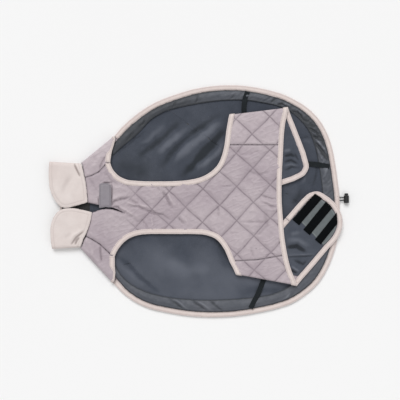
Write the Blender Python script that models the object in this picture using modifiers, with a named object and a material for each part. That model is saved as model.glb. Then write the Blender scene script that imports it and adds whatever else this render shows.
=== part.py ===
"""Dog winter coat laid flat on its outside, neck at -X and tail at +X.

A quilted back lies lining side up; the shoulders, chest and belly fold over it, and both belly wings
are tucked under themselves. Sizes are in millimetres here and become metres when a mesh is made.
"""

import math
from collections import namedtuple

import bmesh
import bpy
from mathutils.geometry import delaunay_2d_cdt

MM = 0.001
MIDDLE_X = -6.3  # the middle of the coat in the outline tables, which becomes the origin
MIDDLE_Y = -1.1

SHELL = 2.4
LINING = 1.2
COLLAR = 3.0
GAP = 0.3
TAPE = 0.8
TAPE_WIDTH = 9.0
TAPE_REACH = 1.3
TAPE_CLEAR = 0.5
NARROW = 0.36
CASING_START = 9.8
CASING_WIDTH = 21.0
CASING_DOME = 1.6
EDGE_LIFT = 1.1
ELASTIC_WIDTH = 10.0
ELASTIC = 1.0
TAB = 1.6
PATCH = 1.0
HOOK = 1.2

SHOULDER_HEIGHT = 12.2
STRAP_HEIGHT = 8.2
BELLY_HEIGHT = 15.2
SHOULDER_RADIUS = 4.9
WING_RADIUS = 2.7
COLLAR_RADIUS = 5.35

CORD_RADIUS = 1.1
CORD_Y = (6.7, 0.3)
CORD_START = 273.4
LOCK_X = 295.4
LOCK_Z = 5.3
LOCK_RADIUS = 5.2
LOCK_LOW = -4.9
LOCK_HIGH = 14.7

Point = namedtuple("Point", "x y")
Fold = namedtuple("Fold", "x y nx ny radius rise")
Crease = namedtuple("Crease", "x y nx ny reaches")

HEM = [
    Point(-169.0, 128.4), Point(-157.7, 142.0), Point(-133.7, 164.4), Point(-109.7, 182.4),
    Point(-85.7, 196.3), Point(-61.7, 206.3), Point(-37.7, 214.3), Point(-13.7, 221.6),
    Point(10.3, 226.2), Point(46.3, 230.0), Point(82.3, 229.8), Point(118.3, 225.0),
    Point(142.3, 219.8), Point(166.3, 212.8), Point(190.3, 201.8), Point(214.3, 187.0),
    Point(239.8, 162.2), Point(257.0, 132.6), Point(266.4, 104.0), Point(272.4, 72.6),
    Point(277.4, 38.0), Point(280.8, 8.0), Point(281.2, -20.0), Point(279.6, -48.7),
    Point(276.3, -78.7), Point(269.3, -104.7), Point(257.3, -134.3), Point(237.3, -165.7),
    Point(213.3, -187.5), Point(184.3, -205.2), Point(154.3, -215.4), Point(118.3, -223.4),
    Point(82.3, -229.4), Point(46.3, -232.0), Point(10.3, -232.2), Point(-25.7, -229.4),
    Point(-61.7, -223.4), Point(-97.7, -215.4), Point(-121.7, -205.6), Point(-145.7, -189.8),
    Point(-172.0, -163.6),
]
CASING_INNER = [
    Point(-173.7, 89.3), Point(-153.7, 108.3), Point(-121.7, 134.3), Point(-97.1, 161.3),
    Point(-64.7, 180.1), Point(-26.3, 189.7), Point(17.7, 197.3), Point(69.3, 201.7),
    Point(100.5, 200.7), Point(128.3, 196.1), Point(156.3, 190.0), Point(177.7, 181.5),
    Point(202.7, 162.1), Point(220.1, 139.7), Point(232.3, 109.3), Point(239.3, 77.3),
    Point(245.7, 35.5), Point(248.5, 1.3), Point(247.8, -42.7), Point(241.8, -82.7),
    Point(228.8, -113.7), Point(208.8, -143.7), Point(186.3, -167.7), Point(159.5, -182.9),
    Point(132.3, -190.7), Point(105.9, -194.2), Point(52.3, -198.0), Point(11.9, -198.9),
    Point(-26.3, -197.2), Point(-74.3, -191.1), Point(-110.5, -180.5), Point(-137.7, -165.7),
    Point(-157.7, -145.7), Point(-169.7, -122.7),
]
CASING_ENDS = [Point(-175.0, 109.0), Point(-176.0, -142.0), Point(-179.0, -119.0)]
LEG_UPPER = [
    Point(-178.0, 76.2), Point(-177.0, 71.0), Point(-173.2, 62.5),
    Point(-161.1, 48.9), Point(-147.1, 41.6), Point(-120.0, 38.0), Point(-83.7, 37.3),
    Point(-48.0, 37.8), Point(-18.3, 40.3), Point(3.0, 45.2), Point(20.3, 53.7),
    Point(34.0, 65.0), Point(42.9, 78.3), Point(51.4, 106.1), Point(56.4, 142.0),
    Point(60.2, 164.0),
]
LEG_LOWER = [
    Point(-168.9, -110.3), Point(-167.0, -105.6), Point(-160.4, -94.0),
    Point(-143.4, -76.6), Point(-120.7, -67.6), Point(-103.6, -65.7), Point(-75.0, -65.4),
    Point(-45.7, -65.5), Point(-15.0, -65.6), Point(11.9, -67.1), Point(34.0, -75.0),
    Point(50.8, -94.7), Point(63.6, -124.0), Point(70.6, -137.0),
]
BELLY_REAR = [
    Point(176.2, 178.0), Point(171.8, 159.5), Point(168.4, 133.4), Point(166.6, 97.4),
    Point(164.2, 51.3), Point(163.6, 21.3), Point(164.4, -12.8), Point(166.2, -34.8),
    Point(168.6, -66.8), Point(173.6, -100.9), Point(182.3, -137.0), Point(191.3, -159.6),
]
UPPER_TIP = [
    Point(181.6, 172.0), Point(200.5, 124.9), Point(215.6, 82.4), Point(218.4, 66.7),
    Point(211.7, 53.1), Point(196.0, 43.2), Point(166.4, 32.7), Point(138.1, 23.4),
    Point(122.9, 25.6), Point(114.3, 38.7), Point(89.3, 103.7), Point(66.5, 164.0),
]
LOWER_TIP = [
    Point(205.0, -157.0), Point(219.9, -140.1), Point(255.6, -97.9), Point(278.6, -70.3),
    Point(285.6, -49.6), Point(284.6, -30.6), Point(277.6, -14.6), Point(256.1, 7.6),
    Point(236.1, 17.3), Point(221.9, 14.3), Point(209.3, 4.0), Point(185.9, -22.3),
    Point(168.3, -41.9), Point(127.3, -89.7), Point(84.0, -138.6),
]
NECK_UPPER = [Point(-227.1, 46.2), Point(-224.7, 31.3), Point(-222.7, 11.3), Point(-221.1, -3.9)]
NECK_LOWER = [Point(-212.7, -23.1), Point(-215.7, -40.7), Point(-221.7, -60.7), Point(-225.0, -71.0)]
THROAT_UPPER = [Point(-200.1, -8.5), Point(-177.7, -12.6), Point(-163.0, -17.6), Point(-151.7, -23.6)]
THROAT_LOWER = [
    Point(-171.7, -17.5), Point(-183.7, -16.5), Point(-193.0, -17.2), Point(-200.5, -19.0),
    Point(-206.5, -21.6),
]
SEAM_UPPER = [Point(-213.7, 50.1), Point(-199.7, 57.3), Point(-187.4, 70.4)]
SEAM_LOWER = [Point(-211.7, -77.9), Point(-197.1, -87.1), Point(-178.2, -104.7)]
SHOULDER_UPPER_LEG = [
    Point(-178.0, 76.9), Point(-177.4, 83.0), Point(-175.0, 97.4), Point(-170.6, 111.8),
    Point(-166.2, 121.0),
]
SHOULDER_LOWER_LEG = [
    Point(-169.0, -111.1), Point(-169.2, -126.6), Point(-167.4, -146.0), Point(-166.0, -156.0),
]
SHOULDER_SEAM_UPPER = [Point(-227.0, 46.7), Point(-213.9, 50.6), Point(-200.0, 57.8), Point(-187.7, 71.0)]
SHOULDER_NECK_UPPER = [Point(-228.7, 51.3)]
SHOULDER_SEAM_LOWER = [Point(-225.0, -71.6), Point(-212.0, -78.5), Point(-197.4, -87.6), Point(-178.5, -105.3)]
SHOULDER_NECK_LOWER = [Point(-229.0, -78.0)]
COLLAR_UPPER = [
    Point(-299.8, 51.3), Point(-296.7, 21.3), Point(-284.7, -2.7), Point(-278.0, -10.5),
    Point(-271.7, -13.6), Point(-261.7, -14.0), Point(-251.7, -11.9), Point(-236.0, -7.4),
    Point(-222.0, -3.5),
]
COLLAR_UPPER_NECK = [Point(-223.2, 11.4), Point(-225.2, 31.4), Point(-229.4, 52.0)]
COLLAR_LOWER = [
    Point(-295.7, -78.7), Point(-296.2, -54.7), Point(-290.7, -34.7), Point(-279.7, -20.7),
    Point(-271.7, -16.6), Point(-262.7, -15.1), Point(-251.7, -15.2), Point(-236.0, -17.6),
    Point(-221.7, -20.8), Point(-213.4, -23.1),
]
COLLAR_LOWER_NECK = [Point(-216.2, -40.8), Point(-222.6, -60.6), Point(-230.6, -76.6)]
COLLAR_BACK_LEFT = [Point(-296.0, 45.0), Point(-286.0, 8.0), Point(-279.0, -10.0), Point(-283.0, -38.0)]
COLLAR_BACK_NECK = [Point(-227.0, -48.0), Point(-223.0, -10.0), Point(-226.0, 30.0)]
ELASTIC_UPPER = [
    Point(97.4, 218.0), Point(92.2, 203.0), Point(90.4, 178.0), Point(102.3, 141.3),
    Point(139.3, 103.3), Point(180.3, 81.5), Point(218.3, 73.9), Point(243.0, 71.6),
    Point(261.4, 67.6),
]
ELASTIC_LOWER = [
    Point(103.6, -215.2), Point(109.4, -203.0), Point(117.0, -189.0), Point(127.9, -162.7),
    Point(146.3, -126.7), Point(180.3, -99.0), Point(210.3, -87.0), Point(238.5, -80.7),
]
TAB_OUTLINE = [
    Point(-198.7, 34.6), Point(-180.7, 34.9), Point(-176.9, 33.0), Point(-175.1, 29.0),
    Point(-174.7, -13.6), Point(-186.0, -12.9), Point(-198.7, -14.6),
]
HOOKS = [
    [Point(231.5, 14.3), Point(245.9, 4.5), Point(199.5, -48.9), Point(186.6, -37.7)],
    [Point(253.9, -1.5), Point(266.3, -14.1), Point(220.9, -68.5), Point(208.3, -57.9)],
    [Point(275.1, -23.3), Point(275.9, -46.1), Point(243.1, -87.1), Point(231.5, -77.5)],
]
PATCH_LINE = [Point(182.3, -36.7), Point(246.3, -94.7)]


def ease(value):
    value = min(max(value, 0.0), 1.0)
    return value * value * (3.0 - 2.0 * value)


def apart(a, b):
    return math.hypot(b[0] - a[0], b[1] - a[1])


def fold_along(start, end, away, radius, inset, rise=-1.0):
    """A fold whose outermost line runs from start to end; away is a point on the far side of it."""
    length = apart(start, end)
    nx, ny = (end[1] - start[1]) / length, (start[0] - end[0]) / length
    if (away[0] - start[0]) * nx + (away[1] - start[1]) * ny < 0.0:
        nx, ny = -nx, -ny
    back = radius + inset
    return Fold(start[0] - nx * back, start[1] - ny * back, nx, ny, radius, rise)


def past(fold, x, y):
    """How far a point of the flat cloth lies past the line where the bend begins."""
    return (x - fold.x) * fold.nx + (y - fold.y) * fold.ny


def wrap(fold, x, y, z, w):
    """Carries a point of the flat cloth round the bend, with w its distance off the middle of the cloth."""
    s = past(fold, x, y)
    if s <= 0.0:
        return (x, y, z + w)
    angle = min(s / fold.radius, math.pi)
    reach = fold.radius - fold.rise * w
    move = reach * math.sin(angle) - max(s - math.pi * fold.radius, 0.0) - s
    height = z + fold.rise * (fold.radius - reach * math.cos(angle))
    return (x + fold.nx * move, y + fold.ny * move, height)


def flat_of(fold, points):
    """Where points seen on the tucked side lie in the flat cloth."""
    found = []
    for p in points:
        step = math.pi * fold.radius - 2.0 * past(fold, p[0], p[1])
        found.append(Point(p[0] + fold.nx * step, p[1] + fold.ny * step))
    return found


WING_UPPER = fold_along((62.3, 171.7), (179.3, 186.1), (120, 300), WING_RADIUS, SHELL / 2)
WING_LOWER = fold_along((77.3, -147.7), (196.3, -169.7), (120, -300), WING_RADIUS, SHELL / 2)
SHOULDER_UPPER = fold_along((-235.7, 75.3), (-169.7, 129.3), (-240, 200), SHOULDER_RADIUS, SHELL / 2)
SHOULDER_LOWER = fold_along((-237.7, -94.7), (-169.7, -167.7), (-240, -200), SHOULDER_RADIUS, SHELL / 2)
COLLAR_TOP = fold_along((-299.7, 78.3), (-235.7, 74.3), (-270, 200), COLLAR_RADIUS, COLLAR / 2, 1.0)
COLLAR_BOTTOM = fold_along((-291.7, -96.7), (-237.7, -93.7), (-270, -200), COLLAR_RADIUS, COLLAR / 2, 1.0)


STATIONS = [-168.0, -153.5, -139.0, -124.5, -110.0, -6.0, 6.8, 19.6, 32.4, 45.2, 58.0]
SLOPES = [Crease(x, 0.0, 1.0, 0.0, lambda p: abs(p[1]) < 150.0) for x in STATIONS]
SHOULDER_FOLDS = [(SHOULDER_UPPER, lambda p: p[1] > 0.0), (SHOULDER_LOWER, lambda p: p[1] < 0.0)]


def smooth_height(x):
    shoulder = 1.0 - ease((x + 168.0) / 58.0)
    belly = ease((x + 6.0) / 64.0)
    rise = (SHOULDER_HEIGHT - STRAP_HEIGHT) * shoulder + (BELLY_HEIGHT - STRAP_HEIGHT) * belly
    return STRAP_HEIGHT + rise


def top_height(x):
    """Middle of the cloth on the upper side: raised at the shoulders and over the tucked wings."""
    if x <= STATIONS[0]:
        return SHOULDER_HEIGHT
    for a, b in zip(STATIONS, STATIONS[1:]):
        if x <= b:
            t = (x - a) / (b - a)
            return smooth_height(a) * (1.0 - t) + smooth_height(b) * t
    return BELLY_HEIGHT


def fold_at(x, y):
    if x > 40.0:
        return WING_UPPER if y > 0.0 else WING_LOWER
    if x < -150.0:
        return SHOULDER_UPPER if y > 0.0 else SHOULDER_LOWER
    return None


def over(x, y, w=0.0):
    """A point of the upper side, w above the middle of its cloth."""
    z = top_height(x)
    fold = fold_at(x, y)
    return wrap(fold, x, y, z, w) if fold else (x, y, z + w)


def edge_distance(points, x, y):
    nearest = 1e9
    for a, b in zip(points, points[1:]):
        dx, dy = b[0] - a[0], b[1] - a[1]
        t = ((x - a[0]) * dx + (y - a[1]) * dy) / (dx * dx + dy * dy)
        t = min(max(t, 0.0), 1.0)
        nearest = min(nearest, math.hypot(x - a[0] - t * dx, y - a[1] - t * dy))
    return nearest


def hem_distance(x, y):
    return edge_distance(HEM_CURVE, x, y)


def ground(x, y, w=0.0):
    """A point of the back, w above the middle of its quilted cloth, which lifts at the hem for the binding."""
    lift = EDGE_LIFT * (1.0 - ease((hem_distance(x, y) - 11.0) / 12.0))
    return (x, y, SHELL / 2 + lift + w)


def dome(x, y):
    """How far the hem channel puffs up across its width; it lies flat beneath the wings."""
    across = (hem_distance(x, y) - CASING_START) / CASING_WIDTH
    pressed = max(ease((260.0 - x) / 30.0), ease((y - 40.0) / 20.0))
    if y < 0.0:
        pressed = ease((170.0 - x) / 30.0)
    corner = ease((apart((x, y), (176.0, 184.0)) - 24.0) / 16.0)
    if not 0.0 < across < 1.0:
        return 0.0
    return CASING_DOME * math.sin(math.pi * across) * pressed * corner


def channel(x, y, w=0.0):
    return ground(x, y, 4.3 + dome(x, y) + w)


def strap_path(x, y, w=0.0):
    """A point of a leg elastic: on the lining, or over the hem channel near the hem."""
    near = 1.0 - ease((hem_distance(x, y) - 40.0) / 12.0)
    return ground(x, y, 4.0 + (LINING + GAP + 0.8 + dome(x, y)) * near + w)


def collar_point(x, y, w=0.0):
    fold = COLLAR_TOP if y > -9.0 else COLLAR_BOTTOM
    return wrap(fold, x, y, COLLAR / 2, w)


def spline(points):
    """Close points along a smooth curve through the given ones."""
    found = []
    for i in range(len(points) - 1):
        p1, p2 = points[i], points[i + 1]
        p0 = points[i - 1] if i else p1
        p3 = points[i + 2] if i + 2 < len(points) else p2
        d1 = apart(p1, p2)
        slopes = []
        for before, at, after in ((p0, p1, p2), (p1, p2, p3)):
            left, right = apart(before, at), apart(at, after)
            slope = []
            for k in range(2):
                if left < 1e-6:
                    slope.append((after[k] - at[k]) / right)
                elif right < 1e-6:
                    slope.append((at[k] - before[k]) / left)
                else:
                    rate = (at[k] - before[k]) / left * right + (after[k] - at[k]) / right * left
                    slope.append(rate / (left + right))
            slopes.append(slope)
        steps = max(int(d1 / 2.0), 2)
        for j in range(steps):
            t = j / steps
            h = (2 * t**3 - 3 * t**2 + 1, (t**3 - 2 * t**2 + t) * d1, 3 * t**2 - 2 * t**3, (t**3 - t**2) * d1)
            found.append(
                Point(*(h[0] * p1[k] + h[1] * slopes[0][k] + h[2] * p2[k] + h[3] * slopes[1][k] for k in range(2)))
            )
    found.append(Point(*points[-1]))
    return found


def thin(points, tolerance, longest):
    """The fewest of the points that keep the curve within the tolerance."""
    a, b = points[0], points[-1]
    length = apart(a, b)
    worst, at = 0.0, 0
    for i in range(1, len(points) - 1):
        p = points[i]
        if length > 1e-6:
            off = abs((b[0] - a[0]) * (a[1] - p[1]) - (a[0] - p[0]) * (b[1] - a[1])) / length
        else:
            off = apart(a, p)
        if off > worst:
            worst, at = off, i
    if len(points) > 2 and worst <= tolerance and length > longest:
        at = len(points) // 2
        worst = tolerance + 1.0
    if len(points) < 3 or worst <= tolerance:
        return [a, b]
    return thin(points[: at + 1], tolerance, longest)[:-1] + thin(points[at:], tolerance, longest)


def curve(points, tolerance=0.3, longest=24.0):
    return thin(spline(points), tolerance, longest)


def inward(points, i, side):
    """The direction into the cloth at one point of its edge, longer at a corner so widths hold."""
    p = points[i]
    units = []
    if i > 0:
        d = apart(points[i - 1], p)
        units.append(((p[0] - points[i - 1][0]) / d, (p[1] - points[i - 1][1]) / d))
    if i + 1 < len(points):
        d = apart(p, points[i + 1])
        units.append(((points[i + 1][0] - p[0]) / d, (points[i + 1][1] - p[1]) / d))
    tx = sum(u[0] for u in units)
    ty = sum(u[1] for u in units)
    size = math.hypot(tx, ty)
    stretch = min(len(units) / size, 1.4)
    return (-ty / size * side * stretch, tx / size * side * stretch)


def inset(points, distance, side):
    found = []
    for i, p in enumerate(points):
        m = inward(points, i, side)
        x, y = p[0] + m[0] * distance, p[1] + m[1] * distance
        ahead = True
        if found:
            before = points[i - 1]
            step = (x - found[-1][0]) * (p[0] - before[0]) + (y - found[-1][1]) * (p[1] - before[1])
            ahead = step > 0.5
        if ahead and edge_distance(points, x, y) > distance - 0.4:
            found.append(Point(x, y))
    return found


def bend_rows(fold):
    steps = 6 if fold.radius > 3.0 else 5
    return [fold.radius * math.pi * k / steps for k in range(steps + 1)]


def creases_of(folds):
    """The lines of the flat cloth along each bend."""
    return [
        Crease(fold.x + fold.nx * row, fold.y + fold.ny * row, fold.nx, fold.ny, reaches)
        for fold, reaches in folds
        for row in bend_rows(fold)
    ]


def everywhere(point):
    return True


def off_line(crease, p):
    return (p[0] - crease.x) * crease.nx + (p[1] - crease.y) * crease.ny


def along_line(crease, p):
    return (p[1] - crease.y) * crease.nx - (p[0] - crease.x) * crease.ny


def with_creases(points, creases, closed=True):
    """The outline with a point wherever it crosses a crease."""
    found = []
    ends = points[1:] + points[:1] if closed else points[1:]
    for a, b in zip(points, ends):
        cuts = []
        for crease in creases:
            sa, sb = off_line(crease, a), off_line(crease, b)
            if sa * sb < -1e-9:
                t = sa / (sa - sb)
                p = Point(a[0] + (b[0] - a[0]) * t, a[1] + (b[1] - a[1]) * t)
                if crease.reaches(p) and apart(a, p) > 0.05 and apart(p, b) > 0.05:
                    cuts.append((t, p))
        found.append(a)
        found.extend(p for t, p in sorted(cuts))
    if not closed:
        found.append(points[-1])
    return found


def inside(points, x, y):
    hit = False
    for (x1, y1), (x2, y2) in zip(points, points[1:] + points[:1]):
        if (y1 > y) != (y2 > y) and x < (x2 - x1) * (y - y1) / (y2 - y1) + x1:
            hit = not hit
    return hit


def clear_of(points, x, y, distance):
    return edge_distance(points + points[:1], x, y) >= distance


def inner_points(outline, spacing, creases, rows):
    """A triangular grid inside the outline, with points of its own along each crease and each given row."""
    found = []
    for row in rows:
        found += [p for p in row if inside(outline, p[0], p[1]) and clear_of(outline, p[0], p[1], 4.0)]
    for crease in creases:
        for k in range(-40, 41):
            p = Point(crease.x - crease.ny * k * spacing, crease.y + crease.nx * k * spacing)
            if crease.reaches(p) and inside(outline, p[0], p[1]) and clear_of(outline, p[0], p[1], 3.0):
                found.append(p)
    xs = [p[0] for p in outline]
    ys = [p[1] for p in outline]
    for j in range(int((max(ys) - min(ys)) / (spacing * 0.866)) + 2):
        y = min(ys) + j * spacing * 0.866
        for i in range(int((max(xs) - min(xs)) / spacing) + 2):
            p = Point(min(xs) + (i + 0.5 * (j % 2)) * spacing, y)
            if not inside(outline, p[0], p[1]) or not clear_of(outline, p[0], p[1], spacing * 0.5):
                continue
            near = any(abs(off_line(crease, p)) < spacing * 0.4 and crease.reaches(p) for crease in creases)
            if not near and not any(edge_distance(row, p[0], p[1]) < spacing * 0.4 for row in rows):
                found.append(p)
    return found


def crease_edges(points, outline, creases):
    """Mesh edges that hold the triangles to each crease."""
    edges = []
    for crease in creases:
        on = [i for i, p in enumerate(points) if abs(off_line(crease, p)) < 0.01 and crease.reaches(p)]
        on.sort(key=lambda i: along_line(crease, points[i]))
        for a, b in zip(on, on[1:]):
            x, y = (points[a][0] + points[b][0]) / 2, (points[a][1] + points[b][1]) / 2
            if inside(outline, x, y):
                edges.append((a, b))
    return edges


def object_from(name, verts, faces, material, collection="dog_winter_coat"):
    mesh = bpy.data.meshes.new(name)
    mesh.from_pydata([((x - MIDDLE_X) * MM, (y - MIDDLE_Y) * MM, z * MM) for x, y, z in verts], [], faces)
    mesh.update()
    obj = bpy.data.objects.new(name, mesh)
    bpy.data.collections[collection].objects.link(obj)
    mesh.materials.append(material)
    return obj


def sheet(name, outline, place, thickness, material, spacing=18.0, folds=(), level=0.0, rows=(), slopes=()):
    """One cut piece: an outline of the flat cloth filled with triangles, carried to its place and thickened."""
    creases = creases_of(folds) + list(slopes)
    outline = with_creases(outline, creases)
    points = outline + inner_points(outline, spacing, creases, rows)
    count = len(outline)
    edges = [(i, (i + 1) % count) for i in range(count)] + crease_edges(points, outline, creases)
    verts, _, faces, _, _, _ = delaunay_2d_cdt([tuple(p) for p in points], edges, [], 1, 1e-4)
    placed = [place(v[0], v[1], level) for v in verts]
    obj = object_from(name, placed, [list(f) for f in faces], material)
    mesh = bmesh.new()
    mesh.from_mesh(obj.data)
    bmesh.ops.recalc_face_normals(mesh, faces=mesh.faces)
    mesh.faces.ensure_lookup_table()
    mesh.to_mesh(obj.data)
    mesh.free()
    solid = obj.modifiers.new("Thickness", "SOLIDIFY")
    solid.thickness = thickness * MM
    solid.offset = 0.0
    return obj


def bend_aligned(edge, i, side, folds):
    """The direction into the cloth at an edge point, run along the bend where the point is on one."""
    m = inward(edge, i, side)
    for fold, reaches in folds:
        s = past(fold, edge[i][0], edge[i][1])
        if reaches(edge[i]) and -9.0 < s < math.pi * fold.radius + 9.0:
            tx, ty = -fold.ny, fold.nx
            size = math.hypot(m[0], m[1])
            lean = (tx * m[0] + ty * m[1]) / size
            return (tx / lean, ty / lean)
    return m


def tape(name, edge, place, side, material, half=SHELL / 2 + GAP, folds=()):
    """Binding folded over an edge: one C-shaped section carried along it."""
    edge = with_creases(edge, creases_of(folds) + SLOPES, closed=False)
    width = TAPE_WIDTH
    outer = half + TAPE
    section = [
        (width, outer), (-0.7, outer), (-TAPE_REACH, 0.6), (-TAPE_REACH, -0.6), (-0.7, -outer),
        (width, -outer), (width, -half), (-TAPE_CLEAR, -half), (-TAPE_CLEAR, half), (width, half),
    ]
    verts = []
    faces = []
    count = len(section)
    for i, p in enumerate(edge):
        m = bend_aligned(edge, i, side, folds)
        narrow = NARROW if p[0] < -150.0 and past(fold_at(*p), *p) > -16.0 and place is over else 1.0
        for u, w in section:
            u = u * narrow if u > 0.0 else u
            verts.append(place(p[0] + m[0] * u, p[1] + m[1] * u, w))
    for i in range(len(edge) - 1):
        for k in range(count):
            a, b = i * count + k, i * count + (k + 1) % count
            faces.append((a, b, b + count, a + count))
    last = (len(edge) - 1) * count
    for start, flip in ((0, False), (last, True)):
        quads = [(0, 1, 8, 9), (1, 2, 3, 8), (3, 7, 8), (3, 4, 7), (4, 5, 6, 7)]
        for quad in quads:
            ring = [start + k for k in quad]
            faces.append(ring if flip else ring[::-1])
    obj = object_from(name, verts, faces, material)
    mesh = bmesh.new()
    mesh.from_mesh(obj.data)
    bmesh.ops.recalc_face_normals(mesh, faces=mesh.faces)
    mesh.to_mesh(obj.data)
    mesh.free()
    return obj


def ribbon(name, path, place, width, thickness, material):
    verts = []
    faces = []
    for i, p in enumerate(path):
        m = inward(path, i, 1.0)
        for u, w in ((-0.5, 0.5), (-0.5, -0.5), (0.5, -0.5), (0.5, 0.5)):
            x, y, z = place(p[0], p[1], w * thickness)
            verts.append((x + m[0] * u * width, y + m[1] * u * width, z))
    for i in range(len(path) - 1):
        for k in range(4):
            a, b = i * 4 + k, i * 4 + (k + 1) % 4
            faces.append((a, b, b + 4, a + 4))
    last = (len(path) - 1) * 4
    faces.append((3, 2, 1, 0))
    faces.append((last, last + 1, last + 2, last + 3))
    obj = object_from(name, verts, faces, material)
    mesh = bmesh.new()
    mesh.from_mesh(obj.data)
    bmesh.ops.recalc_face_normals(mesh, faces=mesh.faces)
    mesh.to_mesh(obj.data)
    mesh.free()
    return obj


def material(name, colour, roughness):
    made = bpy.data.materials.new(name)
    made.use_nodes = True
    shader = made.node_tree.nodes["Principled BSDF"]
    shader.inputs["Base Color"].default_value = (*colour, 1.0)
    shader.inputs["Roughness"].default_value = roughness
    return made


def block(name, low, high):
    """A cutting block between two corners."""
    sizes = [high[k] - low[k] for k in range(3)]
    verts = [
        (low[0] + sizes[0] * i, low[1] + sizes[1] * j, low[2] + sizes[2] * k)
        for i in (0, 1) for j in (0, 1) for k in (0, 1)
    ]
    faces = [(0, 1, 3, 2), (4, 6, 7, 5), (0, 4, 5, 1), (2, 3, 7, 6), (0, 2, 6, 4), (1, 5, 7, 3)]
    return object_from(name, verts, faces, material("cutter", (0.5, 0.5, 0.5), 0.5), "cutters")


def cut(obj, cutter):
    step = obj.modifiers.new("Cut", "BOOLEAN")
    step.operation = "DIFFERENCE"
    step.solver = "EXACT"
    step.object = cutter


def lathe(name, profile, x, z, material, segments=28):
    """A solid turned about a line along Y: the profile is (y, radius) pairs starting and ending on the line."""
    verts = []
    faces = []
    middle = profile[1:-1]
    verts.append((x, profile[0][0], z))
    for y, radius in middle:
        for k in range(segments):
            turn = 2.0 * math.pi * k / segments
            verts.append((x + radius * math.cos(turn), y, z + radius * math.sin(turn)))
    verts.append((x, profile[-1][0], z))
    for k in range(segments):
        after = (k + 1) % segments
        faces.append((0, 1 + after, 1 + k))
        for j in range(len(middle) - 1):
            a = 1 + j * segments
            faces.append((a + k, a + after, a + segments + after, a + segments + k))
        end = 1 + (len(middle) - 1) * segments
        faces.append((end + k, end + after, len(verts) - 1))
    obj = object_from(name, verts, faces, material)
    mesh = bmesh.new()
    mesh.from_mesh(obj.data)
    bmesh.ops.recalc_face_normals(mesh, faces=mesh.faces)
    mesh.to_mesh(obj.data)
    mesh.free()
    return obj


def make_back(paints):
    hem = HEM_CURVE
    neck_top = foot(SHOULDER_UPPER, SHOULDER_UPPER, 0.6)
    neck_bottom = foot(SHOULDER_LOWER, SHOULDER_LOWER, 0.6)
    back_neck = curve([neck_top] + COLLAR_BACK_NECK[::-1] + [neck_bottom])
    upper_corner = foot(SHOULDER_UPPER, HEM[0], 0.6)
    lower_corner = foot(SHOULDER_LOWER, HEM[-1], 0.6)
    outline = [upper_corner] + hem + [lower_corner] + stepped(lower_corner, neck_bottom)
    outline += back_neck[::-1] + stepped(neck_top, upper_corner)
    rows = [inset(hem, 11.0, -1.0), inset(hem, 17.0, -1.0), inset(hem, 23.0, -1.0)]
    shell = sheet("back_shell", outline, ground, SHELL, paints["quilted_cloth"], 38.0, rows=rows)
    cut(shell, block("cord_notch", (272.0, -2.5, -5.0), (290.0, 9.5, 20.0)))
    rim = inset(hem, CASING_START, -1.0)
    rim = [p for p in rim if p[0] > -134.0]
    neck = [Point(p[0] + 4.0, p[1]) for p in back_neck[1:-1]]
    far = [foot(SHOULDER_LOWER, Point(x, y), 9.0) for x, y in ((-192.0, -134.0), (-226.0, -98.0))]
    near = [foot(SHOULDER_UPPER, Point(x, y), 9.0) for x, y in ((-224.0, 74.0), (-192.0, 98.0))]
    outline = stepped(near[-1], rim[0]) + rim + stepped(rim[-1], far[0]) + far + neck[::-1] + near
    sheet("back_lining", outline, ground, LINING, paints["lining_fleece"], 38.0, level=2.5, rows=rows)
    binding = tape("hem_binding", hem, ground, -1.0, paints["binding_tape"])
    cut(binding, block("cord_slot", (276.0, -1.3, 0.95), (290.0, 8.3, 3.65)))
    inner = curve(CASING_INNER)
    ends = [p for p in inset(hem, CASING_START, -1.0) if p[0] > -154.0]
    casing = [CASING_ENDS[0]] + ends + CASING_ENDS[1:] + inner[::-1]
    sheet("hem_casing", casing, channel, LINING, paints["channel_cloth"], 20.0, rows=rows)


def stepped(a, b):
    """Points between two ends, so that the edge follows the ground."""
    steps = int(apart(a, b) / 8.0)
    return [Point(a[0] + (b[0] - a[0]) * k / steps, a[1] + (b[1] - a[1]) * k / steps) for k in range(1, steps)]


def cut_at(points, first, last):
    """The stretch of a curve between two heights, ending exactly on them."""
    low, high = min(first, last), max(first, last)
    found = []
    for a, b in zip(points, points[1:]):
        if low <= a[1] <= high:
            found.append(a)
        for y in (low, high) if a[1] < b[1] else (high, low):
            if (a[1] - y) * (b[1] - y) < 0.0:
                t = (y - a[1]) / (b[1] - a[1])
                found.append(Point(a[0] + (b[0] - a[0]) * t, y))
    if low <= points[-1][1] <= high:
        found.append(points[-1])
    return found


def foot(fold, point, back=0.0):
    s = past(fold, point[0], point[1]) + back
    return Point(point[0] - fold.nx * s, point[1] - fold.ny * s)


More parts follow.
